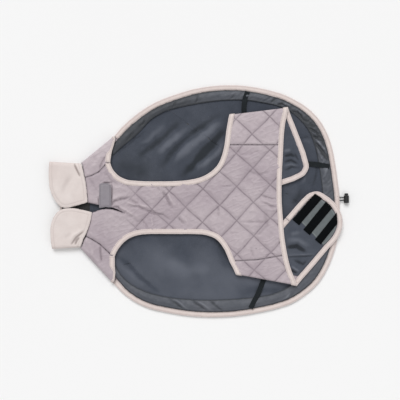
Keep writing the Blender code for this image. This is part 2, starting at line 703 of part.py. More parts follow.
def make_upper(paints):
    cloth = paints["quilted_cloth"]
    folds = [(WING_UPPER, lambda p: p[0] > 40.0 and p[1] > 0.0), (WING_LOWER, lambda p: p[0] > 40.0 and p[1] < 0.0)]
    leg_upper = curve(LEG_UPPER)
    leg_lower = curve(LEG_LOWER)
    rear = curve(BELLY_REAR)
    belly = cut_at(rear, 111.2, -107.4)
    outline = (
        cut_at(leg_upper, -999.0, 111.2) + belly + [Point(116.0, -117.6)] + cut_at(leg_lower, -120.0, 999.0)[::-1]
        + SEAM_LOWER[::-1] + curve(NECK_LOWER)[::-1]
        + curve([Point(-212.7, -23.1)] + THROAT_LOWER[::-1])[1:] + curve(THROAT_UPPER)[::-1]
        + curve(NECK_UPPER)[::-1] + SEAM_UPPER
    )
    sheet("chest_panel", outline, over, SHELL, cloth, 22.0, slopes=SLOPES)
    tip = curve(UPPER_TIP)
    flat_tip = flat_of(WING_UPPER, tip)
    wing = (
        cut_at(leg_upper, 111.6, 999.0) + flat_tip[::-1] + cut_at(rear, 999.0, 111.6)
    )
    sheet("wing_upper", wing, over, SHELL, cloth, 24.0, folds)
    low_tip = curve(LOWER_TIP)
    flat_low = flat_of(WING_LOWER, low_tip)
    wing = (
        [Point(116.0, -118.1)] + cut_at(rear, -107.9, -999.0) + flat_low + cut_at(leg_lower, -120.5, -999.0)[::-1]
    )
    sheet("wing_lower", wing, over, SHELL, cloth, 24.0, folds)
    return leg_upper, leg_lower, rear, tip, low_tip, folds


def make_bindings(paints, edges):
    leg_upper, leg_lower, rear, tip, low_tip, folds = edges
    paint = paints["binding_tape"]
    flat_tip = flat_of(WING_UPPER, tip)
    flat_low = flat_of(WING_LOWER, low_tip)
    split = next(i for i, p in enumerate(tip) if p[0] < 160.0)
    low_split = next(i for i, p in enumerate(low_tip) if p[0] < 180.0 and i > 20)
    turn = shoulder_bend(SHOULDER_UPPER, SHOULDER_UPPER_LEG)
    low_turn = shoulder_bend(SHOULDER_LOWER, SHOULDER_LOWER_LEG)
    tape("shoulder_upper_binding", turn, over, 1.0, paint, folds=SHOULDER_FOLDS)
    tape("shoulder_lower_binding", low_turn, over, -1.0, paint, folds=SHOULDER_FOLDS)
    half = SHELL / 2 + 0.55
    leg = leg_upper + flat_tip[split:][::-1]
    tape("leg_binding_upper", leg, over, -1.0, paint, half, folds)
    leg = leg_lower + flat_low[low_split:][::-1]
    tape("leg_binding_lower", leg, over, 1.0, paint, half, folds)
    belly = flat_tip[: split + 1][::-1] + rear + flat_low[: low_split + 1]
    belly[0] = nudge(belly[0], belly[1], 2.2)
    belly[-1] = nudge(belly[-1], belly[-2], 1.2)
    tape("belly_binding", belly, over, -1.0, paint, half, folds)


def nudge(point, toward, distance):
    size = apart(point, toward)
    return Point(
        point[0] + (toward[0] - point[0]) * distance / size,
        point[1] + (toward[1] - point[1]) * distance / size,
    )


def shoulder_bend(fold, leg):
    """The shoulder's leg edge seen from the seam, carried straight round the bend to its underside."""
    points = curve(leg)
    corner = foot(fold, points[-1])
    arc = math.pi * fold.radius
    return points[:-1] + [corner, Point(corner[0] + fold.nx * arc, corner[1] + fold.ny * arc)]


def make_shoulders(paints):
    cloth = paints["quilted_cloth"]
    arc = math.pi * SHOULDER_RADIUS
    for name, fold, leg, seam, neck in (
        ("shoulder_upper", SHOULDER_UPPER, SHOULDER_UPPER_LEG, SHOULDER_SEAM_UPPER, SHOULDER_NECK_UPPER),
        ("shoulder_lower", SHOULDER_LOWER, SHOULDER_LOWER_LEG, SHOULDER_SEAM_LOWER, SHOULDER_NECK_LOWER),
    ):
        edge = shoulder_bend(fold, leg)
        start = Point(fold.x, fold.y)
        tail = Point(start[0] + fold.nx * arc, start[1] + fold.ny * arc)
        outline = edge + [tail, start] + neck + seam
        sheet(name, outline, over, SHELL, cloth, 15.0, SHOULDER_FOLDS)


def make_collar(paints):
    folds = [(COLLAR_TOP, lambda p: p[1] > -9.0), (COLLAR_BOTTOM, lambda p: p[1] < -9.0)]
    cloth = paints["collar_cloth"]
    upper_left = foot(COLLAR_TOP, Point(-299.7, 70.0))
    upper_right = foot(COLLAR_TOP, Point(-236.6, 70.0))
    lower_left = foot(COLLAR_BOTTOM, Point(-292.7, -88.0))
    lower_right = foot(COLLAR_BOTTOM, Point(-239.6, -88.0))
    upper = flat_of(COLLAR_TOP, curve(COLLAR_UPPER) + COLLAR_UPPER_NECK)
    lower = flat_of(COLLAR_BOTTOM, curve(COLLAR_LOWER) + COLLAR_LOWER_NECK)
    left = curve([upper_left] + COLLAR_BACK_LEFT + [lower_left])
    neck = [Point(p[0] - 1.2, p[1]) for p in curve([lower_right] + COLLAR_BACK_NECK + [upper_right])]
    middle = len(neck) // 2
    outline = left + lower + neck + upper[::-1]
    sheet("collar", outline, collar_point, COLLAR, cloth, 24.0, folds)
    left = [Point(p[0] + 4.0, p[1]) for p in left[1:-1]]
    neck = [Point(p[0] - 1.5, p[1]) for p in neck[1:-1]]
    sheet("collar_facing", left + neck, collar_point, LINING, paints["lining_fleece"], 22.0, level=2.4)
    return middle


def make_wing_linings(paints, edges):
    tip, low_tip = edges[3], edges[4]
    upper = [p for p in inset(tip, TAPE_WIDTH + 1.0, -1.0) if past(WING_UPPER, p[0], p[1]) < -9.0]
    lower = [p for p in inset(low_tip, TAPE_WIDTH + 1.0, 1.0) if past(WING_LOWER, p[0], p[1]) < -9.0]
    shade = paints["lining_fleece"]
    sheet("wing_upper_lining", flat_of(WING_UPPER, upper), over, LINING, shade, 22.0, level=-2.1)
    sheet("wing_lower_lining", flat_of(WING_LOWER, lower), over, LINING, shade, 22.0, level=-2.1)
    across = [p for p in lower if beyond_patch(p)]
    patch = [Point(p[0], p[1]) for p in across]
    patch = inset(patch, 0.6, 1.0)
    sheet("hook_patch", flat_of(WING_LOWER, patch), over, PATCH, paints["patch_cloth"], 22.0, level=-3.5)
    for i, corners in enumerate(HOOKS):
        strip = flat_of(WING_LOWER, corners)
        sheet(f"hook_strip_{i + 1}", strip, over, HOOK, paints["hook_tape"], 60.0, level=-4.9)


def beyond_patch(p):
    a, b = PATCH_LINE
    return (b[0] - a[0]) * (p[1] - a[1]) - (b[1] - a[1]) * (p[0] - a[0]) > 0.0


def make_straps(paints):
    black = paints["elastic"]
    ribbon("leg_elastic_upper", curve(ELASTIC_UPPER, longest=14.0), strap_path, ELASTIC_WIDTH, ELASTIC, black)
    ribbon("leg_elastic_lower", curve(ELASTIC_LOWER, longest=14.0), strap_path, ELASTIC_WIDTH, ELASTIC, black)
    sheet("throat_tab", TAB_OUTLINE, over, TAB, paints["tab_cloth"], 16.0, level=SHELL / 2 + GAP + TAB / 2)


def make_cord(paints):
    """The drawcord's loop: out of the hem, through the lock and back."""
    high, low = CORD_Y
    middle = (high + low) / 2
    bend = (high - low) / 2
    path = [(CORD_START, high, 2.3), (283.0, high, 2.4), (289.0, high, LOCK_Z), (295.0, high, LOCK_Z)]
    for k in range(1, 6):
        turn = math.pi / 2 - math.pi * k / 6
        path.append((295.0 + bend * math.cos(turn), middle + bend * math.sin(turn), LOCK_Z))
    path += [(x, low, z) for x, y, z in path[:4][::-1]]
    data = bpy.data.curves.new("drawcord", "CURVE")
    data.dimensions = "3D"
    data.bevel_depth = CORD_RADIUS * MM
    data.bevel_resolution = 2
    data.use_fill_caps = True
    line = data.splines.new("POLY")
    line.points.add(len(path) - 1)
    for point, at in zip(line.points, path):
        point.co = ((at[0] - MIDDLE_X) * MM, (at[1] - MIDDLE_Y) * MM, at[2] * MM, 1.0)
    obj = bpy.data.objects.new("drawcord", data)
    data.materials.append(paints["cord"])
    bpy.data.collections["dog_winter_coat"].objects.link(obj)


def make_lock(paints):
    bore = 2.3
    r = LOCK_RADIUS
    body = [
        (LOCK_LOW, 0.0), (LOCK_LOW, r - 1.2), (LOCK_LOW + 1.2, r), (9.6, r), (10.8, r - 1.2),
        (10.8, bore), (9.0, bore), (9.0, 0.0),
    ]
    lock = lathe("cord_lock", body, LOCK_X, LOCK_Z, paints["plastic"])
    cut(lock, block("cord_way", (288.0, -1.4, LOCK_Z - 1.5), (LOCK_X + 4.0, 8.4, LOCK_Z + 1.5)))
    button = [
        (9.3, 0.0), (9.3, bore - GAP), (11.1, bore - GAP), (11.1, 3.9), (13.6, 3.9), (LOCK_HIGH, 2.8),
        (LOCK_HIGH, 0.0),
    ]
    lathe("cord_lock_button", button, LOCK_X, LOCK_Z, paints["plastic"])


def build():
    paints = {
        "quilted_cloth": material("quilted_cloth", (0.37, 0.30, 0.33), 0.75),
        "lining_fleece": material("lining_fleece", (0.06, 0.065, 0.085), 0.9),
        "channel_cloth": material("channel_cloth", (0.1, 0.1, 0.12), 0.5),
        "binding_tape": material("binding_tape", (0.72, 0.63, 0.6), 0.8),
        "collar_cloth": material("collar_cloth", (0.72, 0.65, 0.63), 0.75),
        "tab_cloth": material("tab_cloth", (0.29, 0.27, 0.3), 0.85),
        "patch_cloth": material("patch_cloth", (0.13, 0.15, 0.15), 0.8),
        "hook_tape": material("hook_tape", (0.01, 0.012, 0.015), 0.8),
        "elastic": material("elastic", (0.02, 0.024, 0.028), 0.75),
        "cord": material("cord", (0.02, 0.02, 0.022), 0.7),
        "plastic": material("plastic", (0.015, 0.015, 0.017), 0.4),
    }
    make_back(paints)
    edges = make_upper(paints)
    make_shoulders(paints)
    make_bindings(paints, edges)
    make_wing_linings(paints, edges)
    make_collar(paints)
    make_straps(paints)
    make_cord(paints)
    make_lock(paints)


def start():
    for obj in list(bpy.data.objects):
        bpy.data.objects.remove(obj)
    for name in ("dog_winter_coat", "cutters"):
        collection = bpy.data.collections.new(name)
        bpy.context.scene.collection.children.link(collection)
    bpy.data.collections["cutters"].hide_render = True


HEM_CURVE = curve(HEM, 0.35, 26.0)
start()
build()
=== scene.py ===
"""Quilted winter coat for a dog, laid open on its outside: cloth, tapes, straps, cord and lock."""

import math
from collections import namedtuple

import bmesh
import bpy
import numpy as np
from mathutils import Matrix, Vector, kdtree, noise


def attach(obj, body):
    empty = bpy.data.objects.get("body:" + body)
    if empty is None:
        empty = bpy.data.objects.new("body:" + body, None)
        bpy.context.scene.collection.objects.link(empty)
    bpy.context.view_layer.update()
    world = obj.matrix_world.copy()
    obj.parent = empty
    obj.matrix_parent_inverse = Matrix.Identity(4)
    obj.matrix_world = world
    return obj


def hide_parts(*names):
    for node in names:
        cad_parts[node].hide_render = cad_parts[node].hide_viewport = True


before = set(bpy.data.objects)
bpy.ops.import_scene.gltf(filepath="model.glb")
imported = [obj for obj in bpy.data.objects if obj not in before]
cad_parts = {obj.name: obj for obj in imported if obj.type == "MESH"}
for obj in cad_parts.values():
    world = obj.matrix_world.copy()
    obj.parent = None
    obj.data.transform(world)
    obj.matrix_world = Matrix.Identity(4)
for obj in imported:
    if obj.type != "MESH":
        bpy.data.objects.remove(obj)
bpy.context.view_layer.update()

MM = 0.001
WELD = 1e-5  # corners closer than this are one corner
SHARP = math.radians(50)  # a border is an edge that turns more than this
FLAT = math.radians(12)  # two faces that turn less than this lie in one surface
RIM = 0.5  # a rim is a wall at least this high, in mm

# The camera looks straight down on the coat.
AIM = Vector((8.6, 2.4, 8.0)) * MM
LENS = 100.0
SENSOR = 36.0
VIEW_WIDTH = 800 * MM

# The quilting lattice: a crossing, and the two steps to the next crossings, in mm.
QUILT_START = np.array((47.6, -7.0))
QUILT_STEP_A = np.array((33.4, 36.0))
QUILT_STEP_B = np.array((34.0, -31.4))

PLAIN_TO = -105  # from here toward the neck the quilting fades out, over PLAIN_RUN, in mm
PLAIN_RUN = 45

TAPE_OVERLAP = 1.8  # about how far the ends of two tapes reach over each other, in mm
FACING_REACH = 8.0  # how much farther the collar's facing goes under the throat, in mm
DEEPEST = -1.0  # the lowest a trough of plain cloth goes, in mm
HIDDEN_STEP = 9.0  # the longest edge where nothing shows, in mm

FLOOR_HEIGHT = -0.6  # just under the coat, in mm
FLOOR_REACH = 6.0  # from the middle to each side, in m
FLOOR_CELLS = 24

# Power in W per square metre, and angles in degrees: tilt from straight above, turn from +Y
# toward +X, and the lamp's apparent width.
Lamp = namedtuple("Lamp", "name power tilt turn spread")
LAMPS = (Lamp("key", 1.70, 38, -14, 32), Lamp("fill", 0.35, 55, 150, 50))
SKY_POWER = 0.515

Crease = namedtuple("Crease", "points width height")


# ---------------------------------------------------------------- stage


def linear(red, green, blue):
    """The linear colour of an sRGB colour given from 0 to 255."""
    def one(value):
        value = value / 255
        return value / 12.92 if value <= 0.04045 else ((value + 0.055) / 1.055) ** 2.4
    return (one(red), one(green), one(blue), 1.0)


def link(obj):
    bpy.context.scene.collection.objects.link(obj)
    return obj


def make_camera():
    data = bpy.data.cameras.new("camera")
    data.lens = LENS
    data.sensor_width = SENSOR
    data.clip_end = 50
    camera = link(bpy.data.objects.new("camera", data))
    camera.location = AIM + Vector((0, 0, VIEW_WIDTH * LENS / SENSOR))
    bpy.context.scene.camera = camera


def make_lights():
    scene = bpy.context.scene
    scene.view_settings.view_transform = "Standard"
    scene.view_settings.look = "None"
    world = bpy.data.worlds.new("studio")
    world.use_nodes = True
    back = world.node_tree.nodes["Background"]
    back.inputs["Color"].default_value = (1.0, 1.0, 1.0, 1)
    back.inputs["Strength"].default_value = SKY_POWER
    scene.world = world
    for lamp in LAMPS:
        data = bpy.data.lights.new(lamp.name, "SUN")
        data.energy = lamp.power
        data.angle = math.radians(lamp.spread)
        obj = link(bpy.data.objects.new(lamp.name, data))
        a, t = math.radians(lamp.turn), math.radians(lamp.tilt)
        away = Vector((math.sin(a) * math.sin(t), math.cos(a) * math.sin(t), math.cos(t)))
        obj.location = away
        obj.rotation_mode = "QUATERNION"
        obj.rotation_quaternion = away.to_track_quat("Z", "Y")


def make_floor():
    bm = bmesh.new()
    bmesh.ops.create_grid(bm, x_segments=FLOOR_CELLS, y_segments=FLOOR_CELLS, size=FLOOR_REACH)
    bmesh.ops.translate(bm, verts=bm.verts, vec=(0, 0, FLOOR_HEIGHT * MM))
    mesh = bpy.data.meshes.new("floor")
    bm.to_mesh(mesh)
    bm.free()
    floor = link(bpy.data.objects.new("floor", mesh))
    made = Nodes("floor_paint")
    place = made.place()
    cloud = made.noise(place, 900, 2)
    colour = made.mix(cloud, linear(245, 245, 245), linear(247, 247, 247))
    made.finish(colour, 0.95, 0.0, None)
    mesh.materials.append(made.material)


# ---------------------------------------------------------------- materials


class Nodes:
    """Short calls that build one material's node tree."""

    def __init__(self, name):
        self.material = bpy.data.materials.new(name)
        self.material.use_nodes = True
        self.tree = self.material.node_tree
        self.tree.nodes.clear()

    def put(self, socket, value):
        if isinstance(value, bpy.types.NodeSocket):
            self.tree.links.new(value, socket)
        else:
            socket.default_value = value

    def node(self, kind, values=(), **settings):
        made = self.tree.nodes.new("ShaderNode" + kind)
        for key, value in settings.items():
            setattr(made, key, value)
        for key, value in dict(values).items():
            self.put(made.inputs[key], value)
        return made

    def math(self, operation, *values):
        made = self.node("Math", operation=operation)
        for socket, value in zip(made.inputs, values):
            self.put(socket, value)
        return made.outputs[0]

    def place(self):
        return self.node("TexCoord").outputs["Object"]

    def noise(self, place, size, detail=3.0, roughness=0.55, distortion=0.0):
        """Noise from 0 to 1 with lumps of about size mm."""
        values = {"Vector": place, "Scale": 1 / (size * MM), "Detail": detail,
                  "Roughness": roughness, "Distortion": distortion}
        return self.node("TexNoise", values).outputs["Fac"]

    def stretched(self, place, angle, along, across):
        """Place turned by angle and scaled, so that a noise runs in streaks."""
        turned = self.node("Mapping", {
            "Vector": place, "Rotation": (0, 0, -angle),
        }).outputs["Vector"]
        return self.node("Mapping", {
            "Vector": turned, "Scale": (1 / along, 1 / across, 1 / across),
        }).outputs["Vector"]

    def attribute(self, name):
        """The three parts of a vector that the mesh keeps at each vertex."""
        made = self.node("Attribute", attribute_name=name)
        return self.node("SeparateXYZ", {0: made.outputs["Vector"]}).outputs

    def ramp(self, value, low, high, start=0.0, end=1.0):
        """Start below low, end above high, and smooth between them."""
        return self.node("MapRange", {
            "Value": value, "From Min": low, "From Max": high, "To Min": start, "To Max": end,
        }, interpolation_type="SMOOTHSTEP").outputs["Result"]

    def mix(self, factor, first, second):
        made = self.node("Mix", data_type="RGBA")
        self.put(made.inputs[0], factor)
        self.put(made.inputs[6], first)
        self.put(made.inputs[7], second)
        return made.outputs[2]

    def weave(self, place, pitch):
        """Height of a plain weave, from -1 to 1, with that many mm from thread to thread."""
        parts = self.node("SeparateXYZ", {0: place}).outputs
        turn = 2 * math.pi / (pitch * MM)
        across = self.math("SINE", self.math("MULTIPLY", parts[0], turn))
        along = self.math("SINE", self.math("MULTIPLY", parts[1], turn))
        return self.math("MULTIPLY", across, along)

    def total(self, *pairs):
        """The sum of value times weight."""
        result = None
        for value, weight in pairs:
            part = self.math("MULTIPLY", value, weight)
            result = part if result is None else self.math("ADD", result, part)
        return result

    def finish(self, colour, roughness, bump, height, sheen=0.0, specular=0.3):
        """Bump is the height in mm that a height value of 1 stands for."""
        shader = self.node("BsdfPrincipled", {
            "Base Color": colour, "Roughness": roughness, "Specular IOR Level": specular,
            "Sheen Weight": sheen, "Sheen Roughness": 0.5,
        })
        if height is not None:
            lifted = self.node("Bump", {
                "Height": height, "Distance": bump * MM, "Strength": 1.0,
            })
            self.put(shader.inputs["Normal"], lifted.outputs["Normal"])
        self.node("OutputMaterial", {"Surface": shader.outputs[0]})


def dashes(made, along, length, gap):
    """1 on a stitch and 0 between stitches, from the place along the seam in mm."""
    part = made.math("FRACT", made.math("DIVIDE", along, length + gap))
    wave = made.math("ABSOLUTE", made.math("SUBTRACT", part, 0.5))
    edge = 0.5 * length / (length + gap)
    return made.ramp(wave, edge + 0.04, edge - 0.04)


def band(made, distance, centre, half):
    """1 on a line at centre mm from the border, fading out half mm to each side."""
    off = made.math("ABSOLUTE", made.math("SUBTRACT", distance, centre))
    return made.ramp(off, half, half * 0.45)


def quilted_cloth(name, base, worn):
    """Shiny woven cloth with diamond quilting. Its colour carries painted shade in and beside the
    quilting grooves and along its seams, and painted light and shade from the mesh's tone
    attribute.
    """
    made = Nodes(name)
    place = made.place()
    cell_a, cell_b, quilted = made.attribute("quilt")[:3]
    border = made.attribute("border")[0]

    def from_line(cell, spacing):
        part = made.math("ABSOLUTE", made.math("SUBTRACT", cell, made.math("ROUND", cell)))
        return made.math("MULTIPLY", part, spacing)

    across = abs(QUILT_STEP_A[0] * QUILT_STEP_B[1] - QUILT_STEP_A[1] * QUILT_STEP_B[0])
    length_a = float(np.linalg.norm(QUILT_STEP_A))
    length_b = float(np.linalg.norm(QUILT_STEP_B))
    line_a = from_line(cell_a, across / length_b)
    line_b = from_line(cell_b, across / length_a)
    nearest = made.math("MINIMUM", line_a, line_b)
    stitch_a = made.math("MULTIPLY", made.ramp(line_a, 0.75, 0.35),
                         dashes(made, made.math("MULTIPLY", cell_b, length_b), 2.6, 0.9))
    stitch_b = made.math("MULTIPLY", made.ramp(line_b, 0.75, 0.35),
                         dashes(made, made.math("MULTIPLY", cell_a, length_a), 2.6, 0.9))
    stitch = made.math("MULTIPLY", made.math("MAXIMUM", stitch_a, stitch_b), quilted)
    fade = made.ramp(made.noise(place, 26, 2), 0.3, 0.7, 0.45, 1.0)
    groove = made.math("MULTIPLY", made.ramp(nearest, 2.0, 0.2),
                       made.math("MULTIPLY", quilted, fade))
    painted_line_shade = made.math("MULTIPLY", made.ramp(nearest, 7.0, 0.5), quilted)
    tone = made.attribute("painted_light_and_shade")[0]
    seam = made.ramp(border, 2.2, 0.2)
    cloud = made.noise(place, 70, 3)
    fine = made.noise(place, 9, 4)
    streak = made.noise(made.stretched(place, 0.5, 2.6, 0.7), 7, 4, 0.6, 0.6)
    colour = made.mix(made.ramp(cloud, 0.3, 0.7), linear(*base), linear(*worn))
    colour = made.mix(made.ramp(fine, 0.35, 0.75, 0.0, 0.22), colour, linear(150, 139, 147))
    # Painted shade in the troughs and painted light on the ridges, from the mesh's tone attribute.
    colour = made.mix(made.ramp(tone, 0.5, 0.0, 0.0, 0.5), colour, linear(116, 104, 112))
    colour = made.mix(made.ramp(tone, 0.5, 1.0, 0.0, 0.55), colour, linear(205, 193, 197))
    # Painted shade beside the quilting lines, then painted shade in their grooves, which the bump
    # also dents.
    colour = made.mix(made.math("MULTIPLY", painted_line_shade, 0.16), colour, linear(120, 107, 116))
    colour = made.mix(made.math("MULTIPLY", groove, 0.62), colour, linear(112, 99, 108))
    colour = made.mix(made.math("MULTIPLY", stitch, 0.55), colour, linear(132, 119, 128))
    # Painted shade along the piece's border, where it meets the next piece.
    colour = made.mix(made.math("MULTIPLY", seam, 0.55), colour, linear(96, 85, 93))
    pucker = made.math("MULTIPLY", made.noise(place, 4.0, 3, 0.6, 0.8), made.ramp(nearest, 9, 1))
    height = made.total(
        (made.weave(place, 0.55), 0.03), (streak, 0.55), (pucker, 0.5),
        (groove, -0.5), (stitch, 0.22), (made.noise(place, 22, 2), 1.2),
    )
    roughness = made.ramp(made.noise(place, 30, 2), 0.3, 0.7, 0.42, 0.56)
    made.finish(colour, roughness, 0.9, height, 0.15, 0.35)
    return made.material


def plain_cloth(name, base, worn, shade, weave=0.7, bump=0.6, rough=0.8, sheen=0.2,
                specular=0.2, stitch_at=0.0, stitch_tone=None, lump=18, fuzz=0.12,
                edge_highlight=None, painted_light_and_shade=None, stitch_depth=0.6):
    """Cloth with lumps, weave, wear and, if asked, painted light and shade from the mesh's tone
    attribute, a painted highlight along its border, and a row of stitches beside its border with
    painted shade in their groove.
    """
    made = Nodes(name)
    place = made.place()
    border, along, _ = made.attribute("border")[:3]
    cloud = made.noise(place, 110, 3)
    mid = made.noise(place, lump, 4, 0.6)
    fine = made.noise(place, 1.6, 2, 0.6)
    colour = made.mix(made.ramp(cloud, 0.3, 0.7), linear(*base), linear(*worn))
    colour = made.mix(made.ramp(mid, 0.3, 0.75, 0.0, 0.45), colour, linear(*shade))
    colour = made.mix(made.ramp(fine, 0.3, 0.7, 0.0, fuzz), colour, linear(*shade))
    parts = [(made.weave(place, weave), 0.06), (mid, 0.5), (fine, 0.2)]
    if painted_light_and_shade:
        # Painted shade in the troughs and painted light on the ridges, from the mesh's tone
        # attribute.
        tone = made.attribute("painted_light_and_shade")[0]
        colour = made.mix(made.ramp(tone, 0.5, 0.05, 0.0, 0.85), colour, linear(*painted_light_and_shade[0]))
        colour = made.mix(made.ramp(tone, 0.5, 0.95, 0.0, 0.85), colour, linear(*painted_light_and_shade[1]))
    if edge_highlight:
        # Painted highlight along both edges of the band: within 2 mm of the border and beyond 5 mm
        # from it.
        turned = made.math("MAXIMUM", made.ramp(border, 2.0, 0.3, 0.0, 0.6),
                           made.ramp(border, 5.0, 7.5, 0.0, 0.9))
        colour = made.mix(turned, colour, linear(*edge_highlight))
    if stitch_at:
        line = band(made, border, stitch_at, 0.8)
        stitch = made.math("MULTIPLY", line, dashes(made, along, 2.6, 0.9))
        groove = band(made, border, stitch_at, 1.9)
        tone = linear(*(stitch_tone or shade))
        # Painted shade in the groove beside the stitches; the next mix gives the stitches their
        # own thread colour.
        colour = made.mix(made.math("MULTIPLY", groove, 0.5 * stitch_depth), colour, tone)
        colour = made.mix(made.math("MULTIPLY", stitch, stitch_depth), colour, tone)
        parts += [(groove, -0.55), (stitch, 0.3)]
    roughness = made.ramp(mid, 0.3, 0.7, rough - 0.06, rough + 0.06)
    made.finish(colour, roughness, bump, made.total(*parts), sheen, specular)
    return made.material


def hook_material():
    """Black hook tape: a field of small hooks inside a woven edge."""
    made = Nodes("hook_weave")
    place = made.place()
    border = made.attribute("border")[0]
    cells = made.node("TexVoronoi", {
        "Vector": place, "Scale": 1 / (1.3 * MM), "Randomness": 0.35,
    }).outputs["Distance"]
    field = made.ramp(border, 1.0, 1.8)
    tip = made.math("MULTIPLY", made.ramp(cells, 0.45, 0.1), field)
    dust = made.noise(place, 14, 4, 0.6)
    # Painted light on the hook tips and painted shade between them, following the bump.
    colour = made.mix(tip, linear(5, 8, 10), linear(20, 24, 28))
    colour = made.mix(made.ramp(dust, 0.5, 0.8, 0.0, 0.2), colour, linear(38, 43, 46))
    height = made.total((tip, 1.0), (made.weave(place, 0.6), 0.1))
    made.finish(colour, made.ramp(dust, 0.3, 0.7, 0.7, 0.85), 0.5, height, 0.0, 0.08)
    return made.material


def elastic_material():
    """Black elastic: fine ribs across a soft woven band."""
    made = Nodes("elastic_weave")
    place = made.place()
    rib = made.weave(place, 1.2)
    dust = made.noise(place, 12, 4, 0.6)
    # Painted light on the raised ribs and painted shade in the dips between them.
    colour = made.mix(made.ramp(rib, -0.6, 0.6), linear(20, 26, 30), linear(34, 40, 44))
    colour = made.mix(made.ramp(dust, 0.45, 0.8, 0.0, 0.35), colour, linear(58, 64, 68))
    made.finish(colour, made.ramp(dust, 0.3, 0.7, 0.68, 0.8), 0.25, rib, 0.1, 0.2)
    return made.material


def plastic_material():
    """Moulded black plastic with a fine grain and lighter rubbed patches."""
    made = Nodes("moulded_plastic")
    place = made.place()
    grain = made.noise(place, 0.5, 2, 0.6)
    rub = made.noise(place, 4, 3, 0.6)
    colour = made.mix(made.ramp(rub, 0.45, 0.75), linear(24, 25, 27), linear(44, 45, 47))
    made.finish(colour, made.ramp(rub, 0.3, 0.7, 0.34, 0.5), 0.05, grain, 0.0, 0.5)
    return made.material


def cord_material():
    """Round braided black cord."""
    made = Nodes("braid")
    place = made.place()
    braid = made.weave(place, 0.9)
    dust = made.noise(place, 3, 3, 0.6)
    # Painted light on the braid's raised strands and painted shade between them.
    colour = made.mix(made.ramp(braid, -0.5, 0.5), linear(18, 20, 22), linear(46, 49, 52))
    made.finish(colour, made.ramp(dust, 0.3, 0.7, 0.6, 0.75), 0.15, braid, 0.1, 0.25)
    return made.material


# ---------------------------------------------------------------- shapes


def mark_borders(bm):
    """Marks the edges between a piece's faces and its rims, which are walls that stand up."""
    def is_rim(face):
        heights = [v.co.z for v in face.verts]
        return abs(face.normal.z) < 0.6 and max(heights) - min(heights) > RIM * MM
    for edge in bm.edges:
        edge.smooth = True
        if len(edge.link_faces) == 2 and edge.calc_face_angle() > SHARP:
            edge.smooth = not any(is_rim(f) for f in edge.link_faces)


def refined(bm, step, rest, side):
    """Cuts the edges that show down to step mm and the others down to rest mm.

    Then turns edges so that no triangle stays thin. Side is 1 if the top shows, -1 the underside.
    """
    for turn in range(9):
        bm.normal_update()
        shown = {e for f in bm.faces if f.normal.z * side > 0.15 for e in f.edges}
        long = [e for e in bm.edges
                if e.calc_length() > (step if e in shown else rest) * MM]
        if not long:
            break
        bmesh.ops.subdivide_edges(bm, edges=long, cuts=1)
        bmesh.ops.triangulate(bm, faces=[f for f in bm.faces if len(f.verts) > 3])
        if turn < 2 or turn % 2:
            inner = [e for e in bm.edges
                     if e.smooth and len(e.link_faces) == 2 and e.calc_face_angle(9) < FLAT]
            bmesh.ops.beautify_fill(bm, faces=bm.faces, edges=inner, method="ANGLE")


def evened(points, ends, rounds):
    """Moves each point toward its neighbours' middle, and every second round back out again."""
    count = np.bincount(ends.ravel(), minlength=len(points))[:, None]
    for turn in range(rounds):
        total = np.stack([
            np.bincount(ends[:, 0], points[ends[:, 1], k], len(points))
            + np.bincount(ends[:, 1], points[ends[:, 0], k], len(points)) for k in range(3)], 1)
        weight = 0.5 if turn % 2 == 0 else -0.52
        points = points + weight * (total / count - points)
    return points


def borders(sharp, points):
    """For each point its distance to the piece's sharp border and its place along it, in mm."""
    near = {}
    for a, b in sharp.tolist():
        near.setdefault(a, []).append(b)
        near.setdefault(b, []).append(a)
    place, direction = {}, {}
    for start in sorted(near):
        if start in place:
            continue
        place[start] = 0.0
        waiting = [start]
        while waiting:
            here = waiting.pop()
            for other in near[here]:
                if other not in place:
                    step = points[other] - points[here]
                    place[other] = place[here] + math.sqrt(step @ step)
                    direction[other] = step
                    direction.setdefault(here, step)
                    waiting.append(other)
    keys = np.array([k for k in sorted(place) if k in direction])
    if not len(keys):
        return np.full((len(points), 3), 50.0)
    tree = kdtree.KDTree(len(keys))
    for number, key in enumerate(keys):
        tree.insert(points[key], number)
    tree.balance()
    found = np.array([tree.find(p)[1] for p in points])
    lines = np.array([direction[k] for k in keys])
    lines /= np.linalg.norm(lines, axis=1, keepdims=True) + 1e-9
    starts = np.array([place[k] for k in keys])
    off = points - points[keys[found]]
    run = np.clip((off * lines[found]).sum(1), -3.0, 3.0)
    away = np.linalg.norm(off - run[:, None] * lines[found], axis=1)
    return np.stack([away, starts[found] + run, np.zeros(len(points))], 1)


def lumps(points, size, seed):
    """Smooth noise from -1 to 1, with lumps of about size mm."""
    shift = Vector((seed * 7.31, seed * 3.17, seed * 1.93))
    return np.array([noise.noise(Vector(p) / size + shift) for p in points])


def streaks(points, angle, along, across, seed):
    """Smooth noise drawn out along an angle from +X."""
    a = math.radians(angle)
    run = points[:, 0] * math.cos(a) + points[:, 1] * math.sin(a)
    off = -points[:, 0] * math.sin(a) + points[:, 1] * math.cos(a)
    moved = np.stack([run / along, off / across, np.zeros(len(points))], 1)
    return lumps(moved, 1.0, seed)


def ridged(value, width=0.18):
    """Narrow ridges where a noise crosses zero."""
    return np.exp(-((value / width) ** 2))


def smooth(value, low, high):
    """0 below low, 1 above high, smooth between them. Low may be the greater."""
    part = np.clip((value - low) / (high - low), 0, 1)
    return part * part * (3 - 2 * part)


